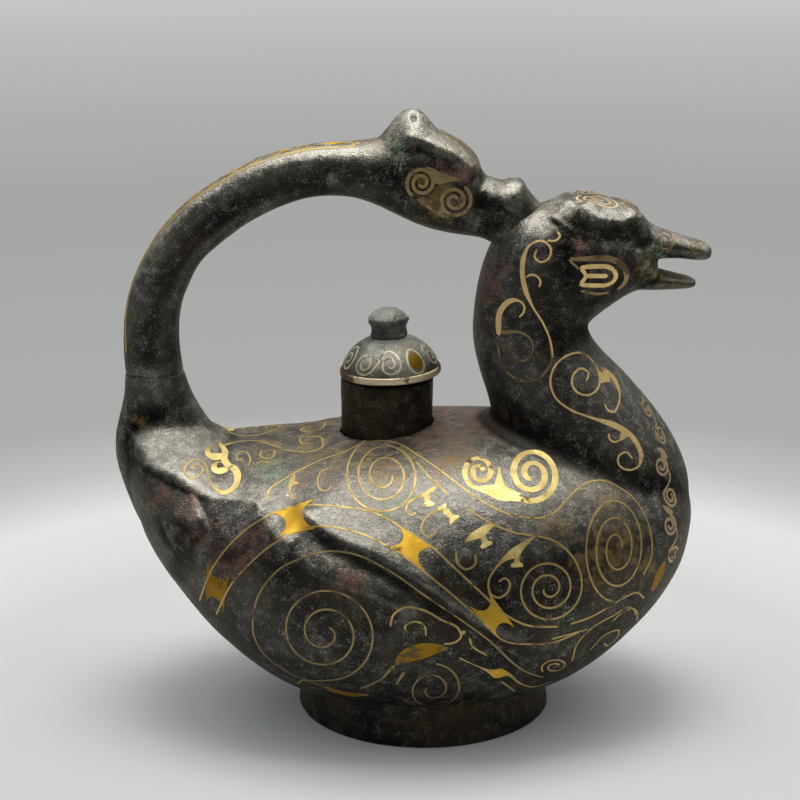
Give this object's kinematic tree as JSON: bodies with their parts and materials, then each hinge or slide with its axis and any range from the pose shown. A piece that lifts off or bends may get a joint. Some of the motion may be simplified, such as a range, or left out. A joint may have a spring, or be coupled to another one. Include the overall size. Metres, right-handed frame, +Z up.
{
  "type": "bronze duck pot",
  "caption": "Cast bronze pouring pot in the shape of a duck, with a beast-headed bail, an open bill as spout, a lift-off domed lid, a ring foot and gold scroll inlay.",
  "frame": {"origin": "on the table under the middle of the pot, midway between tail and bill", "axes": "+Z up, +X from the tail towards the bill, +Y to the duck's left"},
  "size_m": [0.254, 0.1612, 0.262],
  "materials": {
    "bronze": "dark brown-black patinated bronze, semi-gloss, with worn ridges and a little green corrosion",
    "gold": "worn sheet and wire gold let in flush with the bronze"
  },
  "bodies": {
    "pot": {"body_shell": "bronze", "foot_ring": "bronze", "base_plug": "bronze", "neck_spout": "bronze", "bail": "bronze", "filler_collar": "bronze", "wing_spiral_right": "gold", "wing_spiral_left": "gold", "flank_leaf_right": "gold", "flank_leaf_left": "gold", "cloud_scroll_right": "gold", "cloud_scroll_left": "gold", "tail_scroll_right": "gold", "tail_scroll_left": "gold", "wing_bone_1_right": "gold", "wing_bone_1_left": "gold", "wing_bone_2_right": "gold", "wing_bone_2_left": "gold", "wing_bone_3_right": "gold", "wing_bone_3_left": "gold", "wing_bone_4_right": "gold", "wing_bone_4_left": "gold", "neck_scroll_upper_right": "gold", "neck_scroll_upper_left": "gold", "neck_scroll_lower_right": "gold", "neck_scroll_lower_left": "gold", "eye_loop_right": "gold", "eye_loop_left": "gold", "eye_bar_right": "gold", "eye_bar_left": "gold", "beast_scroll_right": "gold", "beast_scroll_left": "gold"},
    "lid": {"lid_dome": "bronze", "lid_knob": "bronze", "lid_sleeve": "bronze", "lid_band": "gold"}
  },
  "joints": [
    {"name": "lid_lift", "type": "slide", "parent": "pot", "child": "lid", "axis": [0, 0, 1], "range_m": [0, 0.036]}
  ]
}
